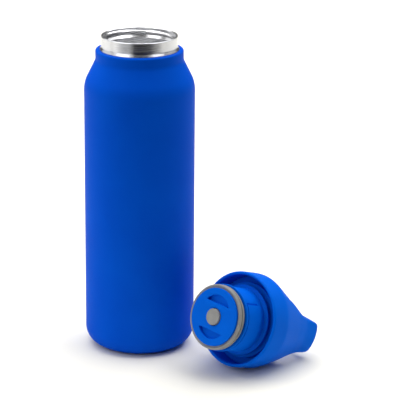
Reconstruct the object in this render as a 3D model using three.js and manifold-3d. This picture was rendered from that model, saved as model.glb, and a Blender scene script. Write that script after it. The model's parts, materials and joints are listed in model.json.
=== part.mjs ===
// Insulated steel water bottle standing open, with its handled screw lid lying beside it.
// Millimetres, +Z up. The bottle axis is the Z axis and the bottle stands on z = 0.
import * as THREE from 'three';
import { mergeVertices } from 'three/addons/utils/BufferGeometryUtils.js';
import Module from 'manifold-3d';

const wasm = await Module();
wasm.setup();

// ---- driving dimensions: bottle ----
const BODY_R = 36.5;
const WALL = 0.5;
const FOOT_ROUND = 12;
const FOOT_HOLE_R = 23;
const SHOULDER_Z = 180.8;
const COLLAR_FOOT_Z = 195.9;
const COLLAR_R = 28.95;
const LEDGE_Z = 203;
const NECK_R = 25.1;
const NECK_FLARE_R = 26.1;
const NECK_WALL = 0.6;
const LIP_Z = 212.2;
const MOUTH_R = 23.6;
const MOUTH_FOOT_Z = 207;
const THROAT_TOP_Z = 205.5;
const THROAT_R = 22.3;
const SEAT_R = 21.1;
const SEAT_TOP_Z = 187.2;
const SEAT_FOOT_Z = 177;
const FLASK_R = 32.2;
const FLASK_TOP_Z = 163;
const FLASK_FLOOR_Z = 9.8;
const THREAD_PITCH = 4;
const THREAD_Z = [207.1, 211.3];
const THREAD_DEPTH = 0.9;

// ---- driving dimensions: lid, upright in its own frame, rim plane at z = 0 ----
const LID_R = 31.5;
const LID_WALL = 2.3;
const LID_CORNER_Z = 15.2;
const LID_TOP_Z = 36.5;
const LID_TOP_R = 21.4;
const HANDLE_TOP_Z = 55;
const HANDLE_HALF_W = 11.1;
const STOP_R = 24.8;
const STOP_Z = 7.6;
const PLUG_R = 20.6;
const PLUG_BORE_R = 18;
const PAD_R = 22;
const PAD_Z = [-14.9, -2];
const PAD_SPAN = 100;
const PAD_TURN = 3;
const PLUG_FOOT_Z = -16.8;
const RIDGE_R = 23.2;
const RIDGE_Z = [2.2, 7];
const COVER_R = 18.85;
const COVER_Z = -23.9;
const POCKET_TURN = -5;
const BUTTON_R = 5.4;
const BUTTON_PROUD = 1.3;

// ---- where the lid lies ----
const LID_X = 65.05;
const LID_Y = -51.3;
const LID_HEADING = 42.6;
const LID_TILT = 18.7;
const LID_ROLL = 10;

const FINE = 40;
const COARSE = 32;
const rad = (degrees) => degrees * Math.PI / 180;

// Corner list [r, z, round] to a polyline with the corners rounded.
function rounded(corners, closed) {
  const out = [];
  const n = corners.length;
  for (let i = 0; i < n; i += 1) {
    const [x, y, round] = corners[i];
    if (!round || (!closed && (i === 0 || i === n - 1))) {
      out.push(new THREE.Vector2(x, y));
      continue;
    }
    const here = new THREE.Vector2(x, y);
    const before = new THREE.Vector2(...corners[(i + n - 1) % n].slice(0, 2)).sub(here);
    const after = new THREE.Vector2(...corners[(i + 1) % n].slice(0, 2)).sub(here);
    const inner = Math.acos(before.dot(after) / before.length() / after.length());
    const turn = Math.PI - inner;
    const reach = round * Math.tan(turn / 2);
    const from = here.clone().addScaledVector(before.normalize(), reach);
    const to = here.clone().addScaledVector(after.normalize(), reach);
    const towards = before.clone().add(after).normalize();
    const centre = here.clone().addScaledVector(towards, round / Math.sin(inner / 2));
    const steps = Math.max(2, Math.ceil(turn / rad(31)));
    const start = from.clone().sub(centre);
    const side = Math.sign(start.x * (to.y - centre.y) - start.y * (to.x - centre.x));
    for (let k = 0; k <= steps; k += 1) {
      const swing = side * turn * k / steps;
      out.push(start.clone().rotateAround(new THREE.Vector2(), swing).add(centre));
    }
  }
  if (closed) out.push(out[0].clone());
  return out;
}

// Weld the vertices, drop everything but positions and turn the faces outwards.
function solid(geometry) {
  const bare = new THREE.BufferGeometry();
  bare.setAttribute('position', geometry.getAttribute('position').clone());
  if (geometry.index) bare.setIndex(geometry.index.clone());
  const welded = mergeVertices(bare, 1e-4);
  const position = welded.getAttribute('position');
  const index = Array.from(welded.index.array);
  const kept = [];
  for (let i = 0; i < index.length; i += 3) {
    const [a, b, c] = index.slice(i, i + 3);
    if (a !== b && b !== c && c !== a) kept.push(a, b, c);
  }
  const p = [new THREE.Vector3(), new THREE.Vector3(), new THREE.Vector3()];
  let volume = 0;
  for (let i = 0; i < kept.length; i += 3) {
    p.forEach((v, k) => v.fromBufferAttribute(position, kept[i + k]));
    volume += p[0].dot(p[1].clone().cross(p[2]));
  }
  if (volume < 0) kept.reverse();
  welded.setIndex(kept);
  welded.computeVertexNormals();
  return welded;
}

// Solid of revolution about Z.
function turned(corners, closed, segments) {
  const lathe = new THREE.LatheGeometry(rounded(corners, closed), segments);
  return solid(lathe.rotateX(Math.PI / 2));
}

// A flat shape in the local XY plane pulled up from z0 to z1.
function block(shape, z0, z1, curveSegments = 10) {
  const options = { depth: z1 - z0, bevelEnabled: false, curveSegments };
  return solid(new THREE.ExtrudeGeometry(shape, options).translate(0, 0, z0));
}

function toManifold(geometry) {
  return new wasm.Manifold(new wasm.Mesh({
    numProp: 3,
    vertProperties: new Float32Array(geometry.getAttribute('position').array),
    triVerts: new Uint32Array(geometry.index.array),
  }));
}

function fromManifold(manifold) {
  const mesh = manifold.getMesh();
  const geometry = new THREE.BufferGeometry();
  geometry.setAttribute('position', new THREE.BufferAttribute(mesh.vertProperties, 3));
  geometry.setIndex(Array.from(mesh.triVerts));
  return solid(geometry);
}

// Push the wall in or out along a helix: depth > 0 moves it away from the axis.
function helix(geometry, zRange, rRange, depth, share) {
  const position = geometry.getAttribute('position');
  for (let i = 0; i < position.count; i += 1) {
    const x = position.getX(i);
    const y = position.getY(i);
    const z = position.getZ(i);
    const r = Math.hypot(x, y);
    if (z <= zRange[0] || z >= zRange[1] || r < rRange[0] || r > rRange[1]) continue;
    const turn = z / THREAD_PITCH - Math.atan2(y, x) / (2 * Math.PI);
    const phase = Math.abs(turn - Math.round(turn)) / (share / 2);
    const bump = phase < 1 ? 0.5 + 0.5 * Math.cos(Math.PI * Math.min(1, phase ** 1.6)) : 0;
    const run = Math.min(z - zRange[0], zRange[1] - z) / 0.9;
    const scale = 1 + depth * bump * Math.min(1, run) / r;
    position.setXYZ(i, x * scale, y * scale, z);
  }
  geometry.computeVertexNormals();
  return geometry;
}

// Vertical run of profile points, close enough together to carry a thread.
function run(r, z0, z1, steps) {
  return Array.from({ length: steps + 1 }, (_, k) => [r, z0 + (z1 - z0) * k / steps]);
}

// ---- bottle: steel pieces ----
const outerShell = turned([
  [FOOT_HOLE_R, 0],
  [BODY_R, 0, FOOT_ROUND],
  [BODY_R, SHOULDER_Z, 20],
  [COLLAR_R, COLLAR_FOOT_Z, 6],
  [COLLAR_R, LEDGE_Z, 1.2],
  [NECK_FLARE_R + 0.3, LEDGE_Z],
  [NECK_FLARE_R + 0.3, LEDGE_Z - WALL],
  [COLLAR_R - WALL, LEDGE_Z - WALL, 0.4],
  [COLLAR_R - WALL, COLLAR_FOOT_Z - 0.2, 6.8],
  [BODY_R - WALL, SHOULDER_Z - 0.2, 19.2],
  [BODY_R - WALL, WALL, FOOT_ROUND - WALL],
  [FOOT_HOLE_R, WALL],
], true, FINE);

const neckBand = turned([
  [NECK_FLARE_R, LEDGE_Z - 1.4],
  [NECK_FLARE_R, LEDGE_Z + 0.3],
  [NECK_R, LEDGE_Z + 1.9, 1.5],
  [NECK_R, LIP_Z - 1],
  [NECK_R - NECK_WALL, LIP_Z - 1],
  [NECK_R - NECK_WALL, LEDGE_Z + 1.7, 1.5],
  [NECK_FLARE_R - NECK_WALL, LEDGE_Z + 0.1],
  [NECK_FLARE_R - NECK_WALL, LEDGE_Z - 1.4],
], true, FINE);

const innerFlask = helix(turned([
  [0, FLASK_FLOOR_Z],
  [FLASK_R, FLASK_FLOOR_Z, 13],
  [FLASK_R, FLASK_TOP_Z, 10],
  [SEAT_R, SEAT_FOOT_Z, 6],
  [SEAT_R, SEAT_TOP_Z],
  [THROAT_R, SEAT_TOP_Z + 1.2],
  [THROAT_R, THROAT_TOP_Z],
  [MOUTH_R, MOUTH_FOOT_Z],
  ...run(MOUTH_R, 207.1, 211.3, 7),
  [MOUTH_R, LIP_Z, 0.4],
  [NECK_R, LIP_Z, 0.3],
  [NECK_R, LIP_Z - 0.65],
  [MOUTH_R + NECK_WALL, LIP_Z - 0.65],
  ...run(MOUTH_R + NECK_WALL, 211.3, 207.1, 7),
  [MOUTH_R + NECK_WALL, MOUTH_FOOT_Z - 0.3],
  [THROAT_R + WALL, THROAT_TOP_Z - 0.3],
  [THROAT_R + WALL, SEAT_TOP_Z + 0.8],
  [SEAT_R + WALL, SEAT_TOP_Z - 0.4],
  [SEAT_R + WALL, SEAT_FOOT_Z + 0.4, 5.2],
  [FLASK_R + WALL, FLASK_TOP_Z + 0.4, 10.8],
  [FLASK_R + WALL, FLASK_FLOOR_Z - WALL, 13.8],
  [0, FLASK_FLOOR_Z - WALL],
], false, FINE), THREAD_Z, [MOUTH_R - 0.3, MOUTH_R + NECK_WALL + 0.3], -THREAD_DEPTH, 0.7);

const heatShield = turned([
  [FLASK_R + 1.6, 26],
  [FLASK_R + 1.8, 26],
  [FLASK_R + 1.8, 154],
  [FLASK_R + 1.6, 154],
], true, COARSE);

const baseCup = turned([
  [1.3, 4],
  [5, 4],
  [7, 2.6, 1],
  [20, 2.6],
  [FOOT_HOLE_R - 0.3, 0.9, 1.2],
  [FOOT_HOLE_R - 0.3, 4.2],
  [FOOT_HOLE_R - 1.1, 4.2],
  [FOOT_HOLE_R - 1.1, 3.4],
  [7.2, 3.4, 1],
  [5.2, 4.8],
  [1.3, 4.8],
], true, COARSE);

const sealBead = turned([
  [0, 3.2],
  [1, 3.2],
  [1, 5.4, 0.4],
  [0, 5.4],
], false, 20);

const getter = turned([
  [0, 6.2],
  [4, 6.2],
  [4, 8.6, 0.6],
  [0, 8.6],
], false, 24).translate(13, 0, 0);

const basePad = turned([
  [0, 0],
  [19.4, 0],
  [19.9, 0.5],
  [19.9, 2.2],
  [0, 2.2],
], false, COARSE);

// ---- lid: outer moulding with its arched handle ----
const domeOuter = turned([
  [0, 0],
  [LID_R, 0, 0.9],
  [LID_R, LID_CORNER_Z, 6],
  [LID_TOP_R, LID_TOP_Z, 3],
  [0, LID_TOP_Z + 0.7],
], false, FINE);

const domeInner = turned([
  [0, -1],
  [LID_R - LID_WALL + 0.9, -1],
  [LID_R - LID_WALL, 0.9],
  [LID_R - LID_WALL, LID_CORNER_Z - 1, 4],
  [LID_TOP_R - 1.8, LID_TOP_Z - 2.3, 2],
  [0, LID_TOP_Z - 2.3],
], false, FINE);

// Surface the outer faces of the handle legs lie on: a long taper from the skirt, then a flare.
const handleLimit = turned([
  [0, 10],
  [LID_R - 0.05, 10],
  [LID_R - 0.05, LID_CORNER_Z, 25],
  [26.8, 34, 20],
  [24.9, 44, 14],
  [25.6, 53.5, 4],
  [25.3, HANDLE_TOP_Z, 1],
  [0, HANDLE_TOP_Z + 0.4],
], false, FINE);

// Side view of the arch, pulled through across the handle.
const archShape = new THREE.Shape();
archShape.moveTo(-33, 11);
archShape.lineTo(33, 11);
archShape.lineTo(33, 60);
archShape.lineTo(-33, 60);
const gap = new THREE.Path();
gap.moveTo(-17.6, 30);
gap.lineTo(-18.4, 41);
gap.bezierCurveTo(-18.9, 44, -20.4, 50.4, -15.4, 50.4);
gap.lineTo(15.4, 50.4);
gap.bezierCurveTo(20.4, 50.4, 18.9, 44, 18.4, 41);
gap.lineTo(17.6, 30);
gap.lineTo(-17.6, 30);
archShape.holes.push(gap);
const arch = block(archShape, -30, 30, 6).rotateX(Math.PI / 2);

// Front view of the handle: broad foot, narrowing to the strap.
const strap = new THREE.Shape();
strap.moveTo(-27, 12);
strap.bezierCurveTo(-24.7, 24, -18.9, 31, -15.5, 36.5);
strap.bezierCurveTo(-13.6, 40, -12, 46, -HANDLE_HALF_W, 51);
strap.bezierCurveTo(-10.9, 53, -10.1, 54.4, -8.1, 55.2);
strap.lineTo(-7.7, 60);
strap.lineTo(7.7, 60);
strap.lineTo(8.1, 55.2);
strap.bezierCurveTo(10.1, 54.4, 10.9, 53, HANDLE_HALF_W, 51);
strap.bezierCurveTo(12, 46, 13.6, 40, 15.5, 36.5);
strap.bezierCurveTo(18.9, 31, 24.7, 24, 27, 12);
strap.lineTo(-27, 12);
const strapBlock = block(strap, -32, 32, 5).rotateX(Math.PI / 2).rotateZ(Math.PI / 2);

const handle = toManifold(handleLimit).intersect(toManifold(arch)).intersect(toManifold(strapBlock));
const lidShell = fromManifold(toManifold(domeOuter).add(handle).subtract(toManifold(domeInner)));

// ---- lid: hollow plug with stop shoulder, thread and pouring gaps ----
const plugTube = helix(turned([
  [PLUG_BORE_R, PLUG_FOOT_Z],
  [PAD_R - 0.1, PLUG_FOOT_Z, 0.4],
  [PAD_R - 0.1, PLUG_FOOT_Z + 2.2, 0.4],
  [PLUG_R, PLUG_FOOT_Z + 2.6],
  ...run(PLUG_R, RIDGE_Z[0], RIDGE_Z[1], 8),
  [PLUG_R, STOP_Z],
  [STOP_R, STOP_Z, 0.5],
  [STOP_R, 12.2],
  [LID_R - LID_WALL - 0.4, 12.2],
  [LID_R - LID_WALL - 0.4, 13.2],
  [PLUG_R, 14.6],
  [PLUG_R, 22],
  [PLUG_BORE_R, 22],
], true, FINE), RIDGE_Z, [PLUG_R - 0.3, PLUG_R + 0.3], RIDGE_R - PLUG_R, 0.62);

function pad(turn) {
  const shape = new THREE.Shape();
  const a0 = rad(turn - PAD_SPAN / 2);
  const a1 = rad(turn + PAD_SPAN / 2);
  shape.absarc(0, 0, PAD_R, a0, a1, false);
  shape.absarc(0, 0, PLUG_BORE_R + 1, a1, a0, true);
  return toManifold(block(shape, PAD_Z[0], PAD_Z[1], 12));
}
const plugBody = fromManifold(toManifold(plugTube).add(pad(PAD_TURN)).add(pad(PAD_TURN + 180)));

const plugGasket = turned([
  [17.7, -22.3],
  [19.2, -22.3],
  [20.5, -22.9, 0.5],
  [21.3, -22.2, 0.4],
  [21.3, -21.1, 0.3],
  [20.6, -20.9],
  [20.6, -20.2],
  [21.2, -20, 0.2],
  [21.2, -19.1, 0.3],
  [20.2, -18.4],
  [20.2, -17.1],
  [17.7, -17.1],
], true, FINE);

const coverCup = turned([
  [BUTTON_R + 0.3, COVER_Z],
  [COVER_R, COVER_Z, 0.5],
  [COVER_R, COVER_Z + 0.6],
  [17.4, COVER_Z + 1.1],
  [17.4, -12.2],
  [15.6, -12.2],
  [15.6, COVER_Z + 3.6],
  [BUTTON_R + 0.3, COVER_Z + 3.6],
], true, FINE);

function pocket(turn) {
  const shape = new THREE.Shape();
  shape.moveTo(-10, 9);
  shape.lineTo(10, 9);
  shape.absarc(0, 2.66, 11.84, rad(32.4), rad(147.6), false);
  return toManifold(block(shape, COVER_Z - 1, COVER_Z + 2.6, 8).rotateZ(rad(turn)));
}
const plugCover = fromManifold(
  toManifold(coverCup).subtract(pocket(POCKET_TURN)).subtract(pocket(POCKET_TURN + 180)),
);

const ventButton = turned([
  [0, COVER_Z - BUTTON_PROUD],
  [BUTTON_R, COVER_Z - BUTTON_PROUD, 0.5],
  [BUTTON_R, COVER_Z + 3.9],
  [8, COVER_Z + 3.9],
  [8, COVER_Z + 5.2],
  [0, COVER_Z + 5.2],
], false, 32);

const lidCore = turned([
  [0, -11.8],
  [PLUG_BORE_R - 0.4, -11.8],
  [PLUG_BORE_R - 0.4, 33],
  [0, 33],
], false, COARSE);

// ---- lay the lid down: plug end up and towards the bottle, roll about its own axis ----
const lidPieces = [lidShell, plugBody, plugGasket, plugCover, ventButton, lidCore];
const heading = rad(LID_HEADING);
const tilt = rad(LID_TILT);
const plugWay = new THREE.Vector3(
  -Math.sin(heading) * Math.cos(tilt),
  -Math.cos(heading) * Math.cos(tilt),
  Math.sin(tilt),
);
const across = new THREE.Vector3(Math.cos(heading), -Math.sin(heading), 0);
across.applyAxisAngle(plugWay, -rad(LID_ROLL));
const lidZ = plugWay.clone().negate();
const lidY = lidZ.clone().cross(across);
const lay = new THREE.Matrix4().makeBasis(across, lidY, lidZ).setPosition(LID_X, LID_Y, 0);
lidPieces.forEach((piece) => piece.applyMatrix4(lay));
lidShell.computeBoundingBox();
const drop = -lidShell.boundingBox.min.z;
lidPieces.forEach((piece) => piece.translate(0, 0, drop));

const BLUE_COAT = { color: 0x0a4cb4, roughness: 0.55, metalness: 0 };
const BLUE_PLASTIC = { color: 0x1257c4, roughness: 0.5, metalness: 0 };
const BRUSHED = { color: 0xc2c5c9, roughness: 0.35, metalness: 1 };
const POLISHED = { color: 0xd0d3d6, roughness: 0.16, metalness: 1 };
const SILICONE = { color: 0x85888c, roughness: 0.7, metalness: 0 };
const BLACK_RUBBER = { color: 0x1d1e20, roughness: 0.85, metalness: 0 };
const COPPER = { color: 0xc07a4e, roughness: 0.3, metalness: 1 };
const GLASS = { color: 0x6d7a70, roughness: 0.3, metalness: 0 };
const GREY_METAL = { color: 0x777a7d, roughness: 0.6, metalness: 1 };
const FOAM = { color: 0xe9e4d6, roughness: 0.95, metalness: 0 };

const part = new THREE.Group();
part.name = 'water_bottle';

function add(name, geometry, look) {
  const mesh = new THREE.Mesh(geometry, new THREE.MeshStandardMaterial(look));
  mesh.name = name;
  part.add(mesh);
}

add('outer_shell', outerShell, BLUE_COAT);
add('neck_band', neckBand, BRUSHED);
add('inner_flask', innerFlask, POLISHED);
add('heat_shield', heatShield, COPPER);
add('base_cup', baseCup, BRUSHED);
add('seal_bead', sealBead, GLASS);
add('getter', getter, GREY_METAL);
add('base_pad', basePad, BLACK_RUBBER);
add('lid_shell', lidShell, BLUE_PLASTIC);
add('plug_body', plugBody, BLUE_PLASTIC);
add('plug_gasket', plugGasket, SILICONE);
add('plug_cover', plugCover, BLUE_PLASTIC);
add('vent_button', ventButton, SILICONE);
add('lid_core', lidCore, FOAM);

export default part;
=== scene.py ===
"""Looks for an insulated steel water bottle standing open, its handled lid lying beside it."""

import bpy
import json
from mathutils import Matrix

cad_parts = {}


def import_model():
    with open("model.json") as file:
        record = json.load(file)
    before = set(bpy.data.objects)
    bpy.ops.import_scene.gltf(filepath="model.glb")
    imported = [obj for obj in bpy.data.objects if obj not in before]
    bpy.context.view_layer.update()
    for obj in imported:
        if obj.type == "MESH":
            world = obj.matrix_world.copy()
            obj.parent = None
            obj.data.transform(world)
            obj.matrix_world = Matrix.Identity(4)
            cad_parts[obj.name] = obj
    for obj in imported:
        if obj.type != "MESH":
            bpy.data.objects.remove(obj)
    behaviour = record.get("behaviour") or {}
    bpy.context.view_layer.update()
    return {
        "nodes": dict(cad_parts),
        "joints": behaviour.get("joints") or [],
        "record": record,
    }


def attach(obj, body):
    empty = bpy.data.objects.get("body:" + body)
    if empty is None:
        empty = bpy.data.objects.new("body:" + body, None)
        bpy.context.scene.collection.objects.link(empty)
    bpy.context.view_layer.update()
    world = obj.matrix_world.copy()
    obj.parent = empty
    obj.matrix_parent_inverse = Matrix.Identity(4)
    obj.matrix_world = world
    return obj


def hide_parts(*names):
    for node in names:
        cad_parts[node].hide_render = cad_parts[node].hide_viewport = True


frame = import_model()

import json
import math

import bmesh
import bpy
import numpy as np
from mathutils import Matrix, Vector

MM = 0.001
TAU = 2 * math.pi

# ---- bottle sizes, mm, as in the CAD part ----
BODY_R = 36.5
WALL = 0.5
FOOT_ROUND = 12
FOOT_HOLE_R = 23
SHOULDER_Z = 180.8
COLLAR_FOOT_Z = 195.9
COLLAR_R = 28.95
LEDGE_Z = 203
NECK_R = 25.1
NECK_FLARE_R = 26.1
LIP_Z = 212.2
LIP_SEAM_R = 24.5
MOUTH_R = 23.6
MOUTH_FOOT_Z = 207
THROAT_TOP_Z = 205.5
THROAT_R = 22.3
SEAT_R = 21.1
SEAT_TOP_Z = 187.2
SEAT_FOOT_Z = 177
FLASK_R = 32.2
FLASK_TOP_Z = 163
FLASK_FLOOR_Z = 9.8
THREAD_PITCH = 4
THREAD_Z = (207.1, 211.3)
THREAD_DEPTH = 0.9

# ---- lid sizes, mm, in its own upright frame with the rim plane at z = 0 ----
LID_R = 31.5
LID_WALL = 2.3
LID_CORNER_Z = 15.2
LID_TOP_Z = 36.5
LID_TOP_R = 21.4
HANDLE_TOP_Z = 55
HANDLE_HALF_W = 11.1
STOP_R = 24.8
STOP_Z = 7.6
PLUG_R = 20.6
PLUG_BORE_R = 18
PAD_R = 22
PAD_Z = (-14.9, -2)
PAD_SPAN = 100
PAD_TURN = 3
PLUG_FOOT_Z = -16.8
RIDGE_R = 23.2
RIDGE_Z = (2.2, 7)
COVER_R = 18.85
COVER_Z = -23.9
POCKET_TURN = -5
POCKET_DEPTH = 2.6
BUTTON_R = 5.4
BUTTON_PROUD = 1.3
BUTTON_GAP = 0.3

# ---- groove along each pad's edges, mm, only in the looks ----
PAD_GROOVE = 1.3
GROOVE_OFFSET = 0.6
GROOVE_WIDTH = 0.45

# ---- how the lid lies, degrees ----
LID_HEADING = 42.6
LID_ROLL = 10

rad = math.radians


# ---------------------------------------------------------------- profiles and meshes
# a straight stretch longer than LONG_STRETCH gets a point this far in from each end, mm
LONG_STRETCH = 2.0
SUPPORT_INSET = 0.35
WELD = 1e-4
TINY_EDGE = 1e-5


def rounded(corners, closed=False, step=7.0):
    """Corner list (r, z, round) to points: corners become arcs, long stretches get support points.

    A rounded corner that meets its neighbour exactly, or lies on a straight line, divides by zero.
    """
    out = []
    n = len(corners)
    for i, corner in enumerate(corners):
        here = np.array(corner[:2], float)
        size = corner[2] if len(corner) > 2 else 0
        if not size or (not closed and i in (0, n - 1)):
            out.append(here)
            continue
        before = np.array(corners[i - 1][:2], float) - here
        after = np.array(corners[(i + 1) % n][:2], float) - here
        before /= np.linalg.norm(before)
        after /= np.linalg.norm(after)
        inner = math.acos(max(-1.0, min(1.0, float(before @ after))))
        turn = math.pi - inner
        start = here + before * size * math.tan(turn / 2)
        towards = before + after
        towards /= np.linalg.norm(towards)
        centre = here + towards * size / math.sin(inner / 2)
        arm = start - centre
        end = here + after * size * math.tan(turn / 2) - centre
        side = math.copysign(1, arm[0] * end[1] - arm[1] * end[0])
        steps = max(3, math.ceil(math.degrees(turn) / step))
        for k in range(steps + 1):
            a = side * turn * k / steps
            c, s = math.cos(a), math.sin(a)
            out.append(centre + np.array([c * arm[0] - s * arm[1], s * arm[0] + c * arm[1]]))
    if closed:
        out.append(out[0])
    supported = [out[0]]
    for p, q in zip(out, out[1:]):
        length = float(np.linalg.norm(q - p))
        if length > LONG_STRETCH:
            inset = SUPPORT_INSET / length
            supported += [p + (q - p) * inset, p + (q - p) * (1 - inset)]
        supported.append(q)
    return np.array(supported[:-1] if closed else supported)


def finished(name, bm, angle=None):
    """Weld a bmesh, turn its faces outwards, shade it smooth and link it as an object.

    With an angle in degrees, edges that turn by more than that stay sharp.
    """
    bmesh.ops.remove_doubles(bm, verts=bm.verts, dist=WELD)
    bmesh.ops.dissolve_degenerate(bm, edges=bm.edges, dist=TINY_EDGE)
    bmesh.ops.recalc_face_normals(bm, faces=bm.faces)
    mesh = bpy.data.meshes.new(name)
    bm.to_mesh(mesh)
    bm.free()
    mesh.shade_smooth()
    if angle:
        mesh.set_sharp_from_angle(angle=rad(angle))
    obj = bpy.data.objects.new(name, mesh)
    bpy.context.scene.collection.objects.link(obj)
    return obj


def lathe(name, profile, closed=True, segments=192, turns=None, shape=None, angle=None):
    """Solid of revolution about Z. shape(r, z, turn) may move each ring's radius."""
    angles = np.arange(segments) * TAU / segments if turns is None else np.asarray(turns)
    count = len(angles)
    bm = bmesh.new()
    rings = []
    for r, z in profile:
        radii = np.full(count, r)
        if shape is not None:
            radii = shape(radii, z, angles)
        rings.append([bm.verts.new((q * math.cos(a), q * math.sin(a), z)) for q, a in zip(radii, angles)])
    pairs = list(zip(rings, rings[1:]))
    if closed:
        pairs.append((rings[-1], rings[0]))
    for low, high in pairs:
        for k in range(count):
            m = (k + 1) % count
            bm.faces.new((low[k], low[m], high[m], high[k]))
    return finished(name, bm, angle)


def bezier(p0, p1, p2, p3, steps):
    """Points along one cubic stretch, its start left out."""
    t = (np.arange(1, steps + 1) / steps)[:, None]
    p0, p1, p2, p3 = (np.array(p, float) for p in (p0, p1, p2, p3))
    return list((1 - t) ** 3 * p0 + 3 * (1 - t) ** 2 * t * p1 + 3 * (1 - t) * t ** 2 * p2 + t ** 3 * p3)


def plate(name, loops, z0, z1, bevel=0.0, angle=None):
    """Flat outline with holes, pulled up from z0 to z1, with an optional rounded edge."""
    curve = bpy.data.curves.new(name, "CURVE")
    curve.dimensions = "2D"
    curve.fill_mode = "BOTH"
    curve.extrude = (z1 - z0) / 2 - bevel
    curve.bevel_depth = bevel
    curve.bevel_resolution = 3
    curve.offset = -bevel
    for loop in loops:
        spline = curve.splines.new("POLY")
        spline.points.add(len(loop) - 1)
        spline.points.foreach_set("co", [c for p in loop for c in (p[0], p[1], 0, 1)])
        spline.use_cyclic_u = True
    holder = bpy.data.objects.new(name, curve)
    bpy.context.scene.collection.objects.link(holder)
    graph = bpy.context.evaluated_depsgraph_get()
    mesh = bpy.data.meshes.new_from_object(holder.evaluated_get(graph))
    bpy.data.objects.remove(holder)
    bm = bmesh.new()
    bm.from_mesh(mesh)
    bmesh.ops.translate(bm, verts=bm.verts, vec=(0, 0, (z0 + z1) / 2))
    return finished(name, bm, angle)


def modified(obj, kind, **settings):
    """Apply one modifier to obj's mesh."""
    modifier = obj.modifiers.new(kind, kind)
    for key, value in settings.items():
        setattr(modifier, key, value)
    graph = bpy.context.evaluated_depsgraph_get()
    mesh = bpy.data.meshes.new_from_object(obj.evaluated_get(graph))
    obj.modifiers.clear()
    obj.data = mesh
    return obj


def combined(obj, other, operation):
    """Boolean of two closed objects; the second one is used up."""
    modified(obj, "BOOLEAN", operation=operation, object=other, solver="MANIFOLD")
    bpy.data.objects.remove(other)
    return obj


def relaxed(obj, weight, rounds):
    """Laplacian smoothing whose strength is weight(points), from 0 to 1 for each vertex."""
    mesh = obj.data
    count = len(mesh.vertices)
    points = np.zeros(count * 3)
    mesh.vertices.foreach_get("co", points)
    points = points.reshape(-1, 3)
    edges = np.zeros(len(mesh.edges) * 2, int)
    mesh.edges.foreach_get("vertices", edges)
    one, two = edges.reshape(-1, 2).T
    degree = np.bincount(np.concatenate([one, two]), minlength=count)[:, None]
    strength = weight(points)[:, None]
    for _ in range(rounds):
        total = np.stack([
            np.bincount(one, points[two, axis], count) + np.bincount(two, points[one, axis], count)
            for axis in range(3)
        ], 1)
        points += (total / degree - points) * strength
    mesh.vertices.foreach_set("co", points.ravel())
    mesh.update()
    return obj


def run(r, z0, z1, step=0.2):
    """Vertical run of profile points, close enough together to carry a thread."""
    return [(r, z) for z in np.linspace(z0, z1, max(2, round(abs(z1 - z0) / step)) + 1)]


def smoothstep(low, high, value):
    """0 below low, 1 above high, and a smooth change between them."""
    t = np.clip((value - low) / (high - low), 0, 1)
    return t * t * (3 - 2 * t)


THREAD_RUNOUT = 0.9
THREAD_FLANK = 1.6


def helix(z_range, depth, share, near, reach):
    """shape() for lathe: a thread of the given depth, on points whose radius is about near.

    share is the part of the pitch that the thread fills.
    """
    def shape(r, z, turn):
        if not z_range[0] < z < z_range[1] or abs(r[0] - near) > reach:
            return r
        place = z / THREAD_PITCH - turn / TAU
        phase = np.abs(place - np.round(place)) / (share / 2)
        rise = 0.5 + 0.5 * np.cos(math.pi * np.minimum(1, phase ** THREAD_FLANK))
        crest = np.where(phase < 1, rise, 0)
        runout = min(1.0, min(z - z_range[0], z_range[1] - z) / THREAD_RUNOUT)
        return r + depth * crest * runout
    return shape


# ---------------------------------------------------------------- materials
def shader(name, color, roughness, **sockets):
    """New material with a Principled shader; the named sockets are set on the shader itself."""
    material = bpy.data.materials.new(name)
    material.use_nodes = True
    tree = material.node_tree
    bsdf = tree.nodes["Principled BSDF"]
    bsdf.inputs["Base Color"].default_value = (*color, 1)
    bsdf.inputs["Roughness"].default_value = roughness
    for key, value in sockets.items():
        bsdf.inputs[key.replace("_", " ")].default_value = value
    return material, tree, bsdf


def noise(tree, scale, detail=3.0, stretch=(1, 1, 1)):
    """Noise texture in the object's own space, stretched along its axes."""
    place = tree.nodes.new("ShaderNodeTexCoord")
    mapping = tree.nodes.new("ShaderNodeMapping")
    mapping.inputs["Scale"].default_value = stretch
    texture = tree.nodes.new("ShaderNodeTexNoise")
    texture.inputs["Scale"].default_value = scale
    texture.inputs["Detail"].default_value = detail
    tree.links.new(place.outputs["Object"], mapping.inputs["Vector"])
    tree.links.new(mapping.outputs["Vector"], texture.inputs["Vector"])
    return texture.outputs["Fac"]


# most of a noise texture's values lie between these two
NOISE_LOW = 0.3
NOISE_HIGH = 0.7


def glossed(tree, bsdf, value, low, high):
    """Roughness that runs from low to high with value."""
    node = tree.nodes.new("ShaderNodeMapRange")
    node.inputs["From Min"].default_value = NOISE_LOW
    node.inputs["From Max"].default_value = NOISE_HIGH
    node.inputs["To Min"].default_value = low
    node.inputs["To Max"].default_value = high
    tree.links.new(value, node.inputs["Value"])
    tree.links.new(node.outputs["Result"], bsdf.inputs["Roughness"])


def tinted(tree, bsdf, value, dark, light):
    """Base colour that runs from dark to light with value."""
    ramp = tree.nodes.new("ShaderNodeValToRGB")
    ramp.color_ramp.elements[0].position = NOISE_LOW
    ramp.color_ramp.elements[1].position = NOISE_HIGH
    ramp.color_ramp.elements[0].color = (*dark, 1)
    ramp.color_ramp.elements[1].color = (*light, 1)
    tree.links.new(value, ramp.inputs["Fac"])
    tree.links.new(ramp.outputs["Color"], bsdf.inputs["Base Color"])


def bump(tree, bsdf, value, strength, distance):
    """Fine relief from value, distance deep in metres."""
    node = tree.nodes.new("ShaderNodeBump")
    node.inputs["Strength"].default_value = strength
    node.inputs["Distance"].default_value = distance
    tree.links.new(value, node.inputs["Height"])
    tree.links.new(node.outputs["Normal"], bsdf.inputs["Normal"])


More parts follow.
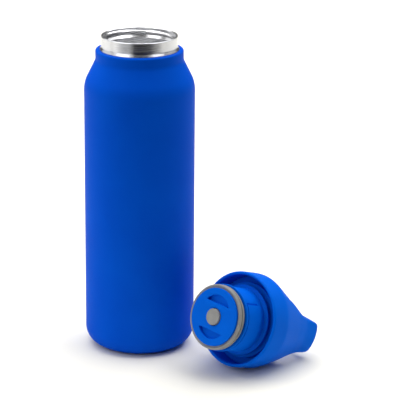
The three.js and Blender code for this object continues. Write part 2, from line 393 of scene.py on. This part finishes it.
def powder_coat():
    """Matte powder coat: a fine orange peel, and gloss and colour that drift a little."""
    material, tree, bsdf = shader("blue_coat", (0.0, 0.08, 0.58), 0.5, Specular_IOR_Level=0.015)
    tinted(tree, bsdf, noise(tree, 30, 4), (0.0, 0.072, 0.58), (0.0, 0.084, 0.62))
    glossed(tree, bsdf, noise(tree, 900, 2), 0.44, 0.54)
    bump(tree, bsdf, noise(tree, 1600, 3), 0.25, 0.00008)
    return material


def moulded(name, dark, light, roughness):
    """Matte moulded plastic with a fine spark-eroded grain."""
    material, tree, bsdf = shader(name, light, roughness, Specular_IOR_Level=0.02)
    tinted(tree, bsdf, noise(tree, 45, 4), dark, light)
    glossed(tree, bsdf, noise(tree, 1500, 2), roughness - 0.05, roughness + 0.06)
    bump(tree, bsdf, noise(tree, 3200, 3), 0.2, 0.00005)
    return material


def brushed_steel():
    """Stainless steel brushed round the axis: streaks far longer than they are high."""
    material, tree, bsdf = shader(
        "brushed_steel", (0.62, 0.62, 0.61), 0.24, Metallic=1.0, Anisotropic=0.8, Anisotropic_Rotation=0.25)
    streaks = noise(tree, 1, 3, (50, 50, 14000))
    tinted(tree, bsdf, streaks, (0.62, 0.63, 0.67), (0.72, 0.73, 0.77))
    glossed(tree, bsdf, streaks, 0.2, 0.32)
    tangent = tree.nodes.new("ShaderNodeTangent")
    tangent.direction_type = "RADIAL"
    tangent.axis = "Z"
    tree.links.new(tangent.outputs["Tangent"], bsdf.inputs["Tangent"])
    bump(tree, bsdf, streaks, 0.15, 0.00001)
    return material


def polished_steel():
    """Electropolished steel with faint drawing lines left round the axis."""
    material, tree, bsdf = shader("polished_steel", (0.8, 0.8, 0.8), 0.22, Metallic=1.0)
    lines = noise(tree, 1, 5, (60, 60, 2600))
    tinted(tree, bsdf, lines, (0.82, 0.825, 0.84), (0.91, 0.915, 0.93))
    glossed(tree, bsdf, noise(tree, 240, 3), 0.18, 0.26)
    bump(tree, bsdf, lines, 0.12, 0.00002)
    return material


def silicone():
    """Matte silicone: soft grey, with faint dusty mottling."""
    material, tree, bsdf = shader("grey_silicone", (0.25, 0.25, 0.25), 0.6, Specular_IOR_Level=0.4)
    tinted(tree, bsdf, noise(tree, 160, 4), (0.235, 0.235, 0.235), (0.285, 0.285, 0.28))
    bump(tree, bsdf, noise(tree, 2200, 2), 0.15, 0.00004)
    return material


def rubber():
    """Dull black rubber with a coarse grain."""
    material, tree, bsdf = shader("black_rubber", (0.014, 0.014, 0.015), 0.75, Specular_IOR_Level=0.3)
    tinted(tree, bsdf, noise(tree, 120, 4), (0.010, 0.010, 0.011), (0.020, 0.020, 0.021))
    bump(tree, bsdf, noise(tree, 1400, 3), 0.4, 0.0001)
    return material


def plain_metal(name, dark, light, roughness):
    """Bare metal with cloudy colour, for the hidden pieces."""
    material, tree, bsdf = shader(name, light, roughness, Metallic=1.0)
    tinted(tree, bsdf, noise(tree, 90, 4), dark, light)
    bump(tree, bsdf, noise(tree, 700, 3), 0.3, 0.00008)
    return material


def plain_solid(name, dark, light, roughness, grain):
    """Glass or foam with cloudy colour and grain, for the hidden pieces."""
    material, tree, bsdf = shader(name, light, roughness)
    tinted(tree, bsdf, noise(tree, grain, 4), dark, light)
    bump(tree, bsdf, noise(tree, grain * 3, 3), 0.4, 0.0002)
    return material


BLUE_DARK = (0.0, 0.110, 0.66)
BLUE_LIGHT = (0.0, 0.125, 0.72)
LOOKS = {
    "blue_coat": powder_coat(),
    "blue_plastic": moulded("blue_plastic", BLUE_DARK, BLUE_LIGHT, 0.45),
    "brushed_steel": brushed_steel(),
    "polished_steel": polished_steel(),
    "grey_silicone": silicone(),
    "black_rubber": rubber(),
    "copper_foil": plain_metal("copper_foil", (0.55, 0.25, 0.14), (0.68, 0.34, 0.2), 0.3),
    "getter_metal": plain_metal("getter_metal", (0.15, 0.15, 0.16), (0.24, 0.24, 0.25), 0.6),
    "solder_glass": plain_solid("solder_glass", (0.14, 0.18, 0.15), (0.24, 0.29, 0.24), 0.25, 500),
    "foam": plain_solid("foam", (0.68, 0.65, 0.56), (0.82, 0.8, 0.72), 0.95, 300),
}


def lay_matrix():
    """Where the upright lid lies: its rim centre and plug direction are the cover's joint."""
    joint = next(j for j in frame["joints"] if j["name"] == "cover_twist")
    plug_way = Vector(joint["axis"]).normalized()
    across = Vector((math.cos(rad(LID_HEADING)), -math.sin(rad(LID_HEADING)), 0))
    across = (across - plug_way * across.dot(plug_way)).normalized()
    across.rotate(Matrix.Rotation(-rad(LID_ROLL), 3, plug_way))
    up = -plug_way
    side = up.cross(across)
    turn = Matrix((across, side, up)).transposed().to_4x4()
    return Matrix.Translation(Vector(joint["pos_m"])) @ turn


LID_LAY = lay_matrix()


def place(obj, node, body, slot, lay=None):
    """Scale a piece from mm to m, put it where it belongs and let it stand for a CAD node."""
    obj.data.transform((lay or Matrix.Identity(4)) @ Matrix.Scale(MM, 4))
    obj.data.materials.clear()
    obj.data.materials.append(LOOKS[slot])
    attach(obj, body)
    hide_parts(node)


# ---------------------------------------------------------------- bottle
def bottle_body():
    """Outer wall, from the rolled foot to the ledge round the neck."""
    profile = rounded([
        (FOOT_HOLE_R, 0, 0.25),
        (BODY_R, 0, FOOT_ROUND),
        (BODY_R, SHOULDER_Z, 20),
        (COLLAR_R, COLLAR_FOOT_Z, 6),
        (COLLAR_R, LEDGE_Z, 1.2),
        (NECK_FLARE_R + 0.05, LEDGE_Z, 0.15),
        (NECK_FLARE_R + 0.05, LEDGE_Z - WALL),
        (COLLAR_R - WALL, LEDGE_Z - WALL, 0.4),
        (COLLAR_R - WALL, COLLAR_FOOT_Z - 0.2, 6.5),
        (BODY_R - WALL, SHOULDER_Z - 0.2, 19.5),
        (BODY_R - WALL, WALL, FOOT_ROUND - WALL),
        (FOOT_HOLE_R, WALL, 0.2),
    ], closed=True, step=4)
    return lathe("bottle_body", profile, segments=256)


def neck_ring():
    """The bare top of the outer wall, flared at the ledge and rolled in at the lip."""
    profile = rounded([
        (NECK_FLARE_R, LEDGE_Z - 1.4),
        (NECK_FLARE_R, LEDGE_Z + 0.3, 0.3),
        (NECK_R, LEDGE_Z + 1.9, 1.5),
        (NECK_R, LIP_Z, 0.45),
        (LIP_SEAM_R, LIP_Z, 0.12),
        (LIP_SEAM_R, LEDGE_Z + 1.7, 1.5),
        (NECK_FLARE_R - 0.6, LEDGE_Z + 0.1),
        (NECK_FLARE_R - 0.6, LEDGE_Z - 1.4),
    ], closed=True)
    return lathe("neck_ring", profile, segments=256)


def flask_liner():
    """Inner flask with its seat, rolled thread and lip; its wall is thicker behind the thread."""
    wall = 0.6
    profile = rounded([
        (0, FLASK_FLOOR_Z),
        (FLASK_R, FLASK_FLOOR_Z, 13),
        (FLASK_R, FLASK_TOP_Z, 10),
        (SEAT_R, SEAT_FOOT_Z, 6),
        (SEAT_R, SEAT_TOP_Z, 0.8),
        (THROAT_R, SEAT_TOP_Z + 1.2, 0.8),
        (THROAT_R, THROAT_TOP_Z, 0.5),
        (MOUTH_R, MOUTH_FOOT_Z, 0.3),
        *run(MOUTH_R, *THREAD_Z),
        (MOUTH_R, LIP_Z - 0.05, 0.5),
        (LIP_SEAM_R - 0.02, LIP_Z - 0.05, 0.1),
        (LIP_SEAM_R - 0.02, LIP_Z - 0.7),
        (MOUTH_R + wall, LIP_Z - 0.7),
        *run(MOUTH_R + wall, THREAD_Z[1], THREAD_Z[0]),
        (MOUTH_R + wall, MOUTH_FOOT_Z - 0.3),
        (THROAT_R + WALL, THROAT_TOP_Z - 0.3),
        (THROAT_R + WALL, SEAT_TOP_Z + 0.8),
        (SEAT_R + WALL, SEAT_TOP_Z - 0.4),
        (SEAT_R + WALL, SEAT_FOOT_Z + 0.4, 5.5),
        (FLASK_R + WALL, FLASK_TOP_Z + 0.4, 10.5),
        (FLASK_R + WALL, FLASK_FLOOR_Z - WALL, 13.5),
        (0, FLASK_FLOOR_Z - WALL),
    ])
    thread = helix(THREAD_Z, -THREAD_DEPTH, 0.7, MOUTH_R + wall / 2, wall)
    return lathe("flask_liner", profile, closed=False, segments=224, shape=thread)


def foot_cup():
    """Pressed bottom of the outer wall, with the vacuum port in its middle."""
    profile = rounded([
        (1.3, 4),
        (5, 4, 0.4),
        (7, 2.6, 1),
        (20, 2.6, 0.5),
        (FOOT_HOLE_R - 0.3, 0.9, 1.2),
        (FOOT_HOLE_R - 0.3, 4.2, 0.2),
        (FOOT_HOLE_R - 1.1, 4.2, 0.2),
        (FOOT_HOLE_R - 1.1, 3.4, 0.4),
        (7.2, 3.4, 1),
        (5.2, 4.8, 0.4),
        (1.3, 4.8),
    ], closed=True)
    return lathe("foot_cup", profile, segments=128)


def foot_pad():
    """Rubber disc stuck in the foot, with fine grip rings on its underside.

    Known fault: the last ring reaches past the corner after it, which curls the rim up and out.
    The first corner lies on a straight line, which leaves a few faces without area.
    """
    first_ring, ring_pitch, groove_depth, thickness = 3, 2.8, 0.35, 2.2
    rings = []
    for k in range(6):
        r = first_ring + ring_pitch * k
        rings += [
            (r, 0, 0.1),
            (r + 1.6, 0, 0.1),
            (r + 1.9, groove_depth, 0.1),
            (r + 2.5, groove_depth, 0.1),
        ]
    rim = [(19.3, 0, 0.4), (19.9, 0.7, 0.3), (19.9, thickness, 0.2)]
    profile = rounded([(0, 0), *rings, *rim, (0, thickness)])
    return lathe("foot_pad", profile, closed=False, segments=128)


# ---------------------------------------------------------------- lid
def dome():
    """The outside of the lid's cap, still solid."""
    return lathe("dome", rounded([
        (0, 0),
        (LID_R, 0, 0.9),
        (LID_R, LID_CORNER_Z, 6),
        (LID_TOP_R, LID_TOP_Z, 3),
        (0, LID_TOP_Z + 0.7),
    ]), closed=False)


def hollow():
    """The space inside the skirt."""
    return lathe("hollow", rounded([
        (0, -1),
        (LID_R - LID_WALL + 0.9, -1),
        (LID_R - LID_WALL, 0.9, 0.6),
        (LID_R - LID_WALL, LID_CORNER_Z - 1, 4),
        (LID_TOP_R - 1.8, LID_TOP_Z - 2.3, 2),
        (0, LID_TOP_Z - 2.3),
    ]), closed=False)


def handle():
    """Arched carry handle: a tapering limit, cut by the arch seen from the side and from the front."""
    limit = lathe("handle", rounded([
        (0, 10),
        (LID_R - 0.05, 10),
        (LID_R - 0.05, LID_CORNER_Z, 25),
        (26.8, 34, 20),
        (24.9, 44, 14),
        (25.6, 53.5, 4),
        (25.3, HANDLE_TOP_Z, 1),
        (0, HANDLE_TOP_Z + 0.4),
    ]), closed=False)
    gap = [np.array((-17.6, 30.0)), np.array((-18.4, 41.0))]
    gap += bezier((-18.4, 41), (-18.9, 44), (-20.4, 50.4), (-15.4, 50.4), 14)
    gap.append(np.array((15.4, 50.4)))
    gap += bezier((15.4, 50.4), (20.4, 50.4), (18.9, 44), (18.4, 41), 14)
    gap.append(np.array((17.6, 30.0)))
    arch = plate("arch", [[(-33, 11), (33, 11), (33, 60), (-33, 60)], gap], -30, 30)
    arch.data.transform(Matrix.Rotation(rad(90), 4, "X"))
    half = [np.array((27.0, 12.0))]
    half += bezier((27, 12), (24.7, 24), (18.9, 31), (15.5, 36.5), 12)
    half += bezier((15.5, 36.5), (13.6, 40), (12, 46), (HANDLE_HALF_W, 51), 10)
    half += bezier((HANDLE_HALF_W, 51), (10.9, 53), (10.1, 54.4), (8.1, 55.2), 6)
    half.append(np.array((7.7, 60.0)))
    outline = half + [p * (-1, 1) for p in reversed(half)]
    strap = plate("strap", [outline], -32, 32)
    strap.data.transform(Matrix.Rotation(rad(90), 4, "Z") @ Matrix.Rotation(rad(90), 4, "X"))
    combined(limit, arch, "INTERSECT")
    return combined(limit, strap, "INTERSECT")


def lid_moulding():
    """Cap and handle as one moulding, with its edges and the handle's roots blended."""
    voxel, rounds = 0.55, 24
    shell = combined(dome(), handle(), "UNION")
    combined(shell, hollow(), "DIFFERENCE")
    modified(shell, "REMESH", mode="VOXEL", voxel_size=voxel, adaptivity=0)

    def roots(points):
        """Weak smoothing everywhere, strong where the handle grows out of the cap."""
        x, y, z = points.T
        above_skirt = smoothstep(13, 18, z)
        below_crown = 1 - smoothstep(46, 50, z)
        blend = above_skirt * smoothstep(18, 20, np.hypot(x, y)) * below_crown
        return 0.1 + 0.4 * blend

    relaxed(shell, roots, rounds)
    shell.data.shade_smooth()
    shell.name = "lid_moulding"
    return shell


def plug_moulding():
    """Plug tube with its stop shoulder, thread ridge and the two raised pads that leave pouring gaps.

    Known fault: the corner marked below meets the next point exactly, which leaves stray faces.
    """
    foot_r, flange_r, flange_z, tube_top = PAD_R - 0.1, LID_R - LID_WALL - 0.15, (12.2, 13.2), 22
    profile = rounded([
        (PLUG_BORE_R, PLUG_FOOT_Z),
        (foot_r, PLUG_FOOT_Z, 0.4),
        (foot_r, PLUG_FOOT_Z + 1.7, 0.4),
        (PLUG_R, PLUG_FOOT_Z + 1.85, 0.1),  # the same point as the start of the next run
        *run(PLUG_R, PAD_Z[0] - 0.05, PAD_Z[0] + 1, 0.1),
        *run(PLUG_R, PAD_Z[0] + 1.8, PAD_Z[1] - 0.9, 1.0),
        *run(PLUG_R, PAD_Z[1] - 0.6, PAD_Z[1] + 0.6, 0.1),
        *run(PLUG_R, RIDGE_Z[0], RIDGE_Z[1]),
        (PLUG_R, STOP_Z, 0.4),
        (STOP_R, STOP_Z, 0.5),
        (STOP_R, flange_z[0], 0.3),
        (flange_r, flange_z[0]),
        (flange_r, flange_z[1]),
        (PLUG_R, 14.6),
        (PLUG_R, tube_top),
        (PLUG_BORE_R, tube_top),
    ], closed=True)
    on_tube = 0.3
    thread = helix(RIDGE_Z, RIDGE_R - PLUG_R, 0.62, PLUG_R, on_tube)

    def shape(r, z, turn):
        """The pads with a groove along their edges, then the thread ridge."""
        if abs(r[0] - PLUG_R) < on_tube and PAD_Z[0] - 0.1 < z < PAD_Z[1] + 0.7:
            off = np.abs(np.mod(turn - rad(PAD_TURN) + math.pi / 2, math.pi) - math.pi / 2)
            edge = (rad(PAD_SPAN / 2) - off) * PLUG_R
            height = smoothstep(-0.3, 0.3, edge)
            height = height * smoothstep(PAD_Z[0] - 0.05, PAD_Z[0] + 0.35, z)
            height = height * (1 - smoothstep(PAD_Z[1] - 0.25, PAD_Z[1] + 0.25, z))
            groove = np.exp(-((edge + GROOVE_OFFSET) / GROOVE_WIDTH) ** 2)
            groove = groove * smoothstep(PAD_Z[0], PAD_Z[0] + 0.4, z)
            fade = 1 - smoothstep(PAD_Z[1] - 0.4, PAD_Z[1], z)
            return r + (PAD_R - PLUG_R) * height - PAD_GROOVE * groove * fade
        return thread(r, z, turn)

    edges = [PAD_TURN + side * PAD_SPAN / 2 + half for side in (-1, 1) for half in (0, 180)]
    turns = set(np.round(np.arange(0, 360, 1.5), 3))
    for edge in edges:
        turns |= set(np.round(np.mod(edge + np.linspace(-1, 1, 11), 360), 3))
    return lathe("plug_moulding", profile, turns=np.radians(sorted(turns)), shape=shape)


def gasket_ring():
    """Silicone seal with a broad lip at the foot and a thin one behind it."""
    profile = rounded([
        (17.7, -22.3),
        (19.2, -22.3, 0.2),
        (20.5, -22.9, 0.5),
        (21.3, -22.2, 0.4),
        (21.3, -21.1, 0.25),
        (20.5, -20.9, 0.1),
        (20.5, -20.2, 0.1),
        (21.2, -20, 0.2),
        (21.2, -19.1, 0.3),
        (20.2, -18.4, 0.3),
        (20.2, -17.1, 0.2),
        (17.7, -17.1),
    ], closed=True, step=15)
    return lathe("gasket_ring", profile, segments=224)


def circle(r, count):
    """Closed outline of a circle round the origin."""
    return [np.array((r * math.cos(a), r * math.sin(a))) for a in np.arange(count) * TAU / count]


def pocket(turn):
    """Half-moon finger recess: a straight side near the middle and an arc along the edge."""
    low, high = rad(36), rad(144)
    chord, centre, size = 9.0, 2.66, 11.84
    corner, lift = 0.9, 0.25
    arc = [np.array((size * math.cos(a), centre + size * math.sin(a))) for a in np.linspace(low, high, 40)]
    left, right = arc[-1], arc[0]
    start = [np.array((left[0] + corner * 0.1, chord + lift)), np.array((left[0] + corner, chord))]
    end = [np.array((right[0] - corner, chord)), np.array((right[0] - corner * 0.1, chord + lift))]
    c, s = math.cos(turn), math.sin(turn)
    return [np.array((c * p[0] - s * p[1], s * p[0] + c * p[1])) for p in start + end + arc]


def cover_disc():
    """Screw-in cover of the plug, with a bore for the vent button and two finger recesses."""
    bore_r, cup_bore_r, cup_top_z = BUTTON_R + BUTTON_GAP, 15.6, -12.2
    pocket_floor_z, cup_floor_z = COVER_Z + POCKET_DEPTH, COVER_Z + 3.6
    holes = [pocket(rad(POCKET_TURN)), pocket(rad(POCKET_TURN + 180)), circle(bore_r, 96)]
    loops = [circle(COVER_R, 192), *holes]
    face = plate("cover_disc", loops, COVER_Z, pocket_floor_z + 0.3, bevel=0.28, angle=50)
    cup = lathe("cover_cup", rounded([
        (bore_r, pocket_floor_z),
        (17.6, pocket_floor_z, 0.2),
        (17.4, cup_top_z, 0.3),
        (cup_bore_r, cup_top_z, 0.3),
        (cup_bore_r, cup_floor_z, 0.3),
        (bore_r, cup_floor_z),
    ], closed=True), segments=160, angle=40)
    return face, cup


def vent_dot():
    """Silicone vent button in the middle of the cover."""
    profile = rounded([
        (0, COVER_Z - BUTTON_PROUD + 0.12),
        (BUTTON_R - 1.1, COVER_Z - BUTTON_PROUD + 0.1, 1.0),
        (BUTTON_R - 0.6, COVER_Z - BUTTON_PROUD, 0.3),
        (BUTTON_R, COVER_Z - BUTTON_PROUD, 0.45),
        (BUTTON_R, COVER_Z + 3.9, 0.3),
        (8, COVER_Z + 3.9, 0.3),
        (8, COVER_Z + 5.2, 0.3),
        (0, COVER_Z + 5.2),
    ])
    return lathe("vent_dot", profile, closed=False, segments=96)


place(bottle_body(), "outer_shell", "bottle", "blue_coat")
place(neck_ring(), "neck_band", "bottle", "brushed_steel")
place(flask_liner(), "inner_flask", "bottle", "polished_steel")
place(foot_cup(), "base_cup", "bottle", "brushed_steel")
place(foot_pad(), "base_pad", "bottle", "black_rubber")
place(lid_moulding(), "lid_shell", "lid", "blue_plastic", LID_LAY)
place(plug_moulding(), "plug_body", "lid", "blue_plastic", LID_LAY)
place(gasket_ring(), "plug_gasket", "lid", "grey_silicone", LID_LAY)
for part in cover_disc():
    place(part, "plug_cover", "cover", "blue_plastic", LID_LAY)
place(vent_dot(), "vent_button", "cover", "grey_silicone", LID_LAY)

slots = {p["node"]: p["material_slot"] for p in frame["record"]["subparts"]}
for name, obj in frame["nodes"].items():
    obj.data.materials.clear()
    obj.data.materials.append(LOOKS[slots[name]])


# ---------------------------------------------------------------- floor, light and camera
def sheet(name, corners, material, seen=True):
    """Flat stage piece through four corners, in metres.

    If it isn't seen, the camera looks through it and it casts no shadow.
    """
    mesh = bpy.data.meshes.new(name)
    mesh.from_pydata(corners, [], [(0, 1, 2, 3)])
    obj = bpy.data.objects.new(name, mesh)
    bpy.context.scene.collection.objects.link(obj)
    mesh.materials.append(material)
    if not seen:
        obj.visible_camera = False
        obj.visible_shadow = False


def floor():
    """Pale floor, a little warm."""
    half = 4.0
    corners = [(-half, -half, 0), (half, -half, 0), (half, half, 0), (-half, half, 0)]
    material = shader("pale_floor", (0.90, 0.88, 0.795), 0.9, Specular_IOR_Level=0.0)[0]
    sheet("floor", corners, material)


def soft_box(name, place_at, aim, width, height, radiance):
    """White rectangular area light of a given brightness, facing aim."""
    lamp = bpy.data.lights.new(name, "AREA")
    lamp.shape = "RECTANGLE"
    lamp.size = width
    lamp.size_y = height
    lamp.energy = radiance * width * height * math.pi
    obj = bpy.data.objects.new(name, lamp)
    obj.location = place_at
    obj.rotation_euler = (Vector(aim) - Vector(place_at)).to_track_quat("-Z", "Y").to_euler()
    bpy.context.scene.collection.objects.link(obj)


def world(strength):
    """Even white light from all round."""
    backdrop = bpy.data.worlds.new("studio")
    backdrop.use_nodes = True
    background = backdrop.node_tree.nodes["Background"]
    background.inputs["Color"].default_value = (1, 1, 1, 1)
    background.inputs["Strength"].default_value = strength
    bpy.context.scene.world = backdrop


def camera():
    """Long lens that looks down on the target from the front, rolled a little."""
    distance, elevation, roll = 1.4, rad(17.463), rad(0.452)
    target = Vector((0.04027, 0, 0.09976))
    lens = bpy.data.cameras.new("camera")
    lens.lens = 188.65
    lens.sensor_width = 36
    lens.clip_start = 0.05
    lens.clip_end = 50
    obj = bpy.data.objects.new("camera", lens)
    obj.location = target + distance * Vector((0, -math.cos(elevation), math.sin(elevation)))
    aim = (target - obj.location).to_track_quat("-Z", "Y")
    obj.rotation_euler = (aim.to_matrix().to_4x4() @ Matrix.Rotation(roll, 4, "Z")).to_euler()
    bpy.context.scene.collection.objects.link(obj)
    bpy.context.scene.camera = obj


def flag(name, corners):
    """Black card that darkens reflections, so the steel has a dark side, and bounced light."""
    material = shader(name, (0.012, 0.012, 0.012), 0.95, Specular_IOR_Level=0.0)[0]
    sheet(name, corners, material, seen=False)


def flags():
    """One card just above the floor in front of the objects, and one that stands behind it."""
    near, far, top = -0.28, -1.0, 1.3
    half_width, lift = 0.9, 0.002
    left, right = -far * math.tan(rad(-17)), -far * math.tan(rad(37))
    flag("floor_flag", [
        (-half_width, near, lift),
        (half_width, near, lift),
        (half_width, far, lift),
        (-half_width, far, lift),
    ])
    flag("front_flag", [(left, far, 0.0), (right, far, 0.0), (right, far, top), (left, far, top)])


# name: place, aim, width, height, brightness
LIGHTS = {
    "left_box": ((-1.0, -0.75, 0.55), (0, 0, 0.1), 1.5, 1.3, 0.95),
    "right_box": ((1.05, -0.45, 0.5), (0, 0, 0.1), 1.1, 1.2, 0.1),
    "top_box": ((0.1, 0.6, 1.5), (0.05, 0.25, 0), 2.6, 2.0, 3.2),
    "back_left": ((-1.2, 0.5, 0.5), (0, 0, 0.1), 1.0, 1.2, 0.8),
    "back_right": ((1.2, 0.6, 0.5), (0, 0, 0.1), 1.0, 1.2, 0.3),
    "high_left": ((-0.75, -0.5, 1.15), (0, 0, 0.1), 0.8, 0.8, 1.5),
    "high_right": ((0.8, -0.35, 1.15), (0, 0, 0.1), 0.8, 0.8, 1.2),
}
floor()
flags()
world(0.1)
for name, settings in LIGHTS.items():
    soft_box(name, *settings)
camera()
bpy.context.scene.view_settings.view_transform = "Standard"
bpy.context.scene.view_settings.look = "None"
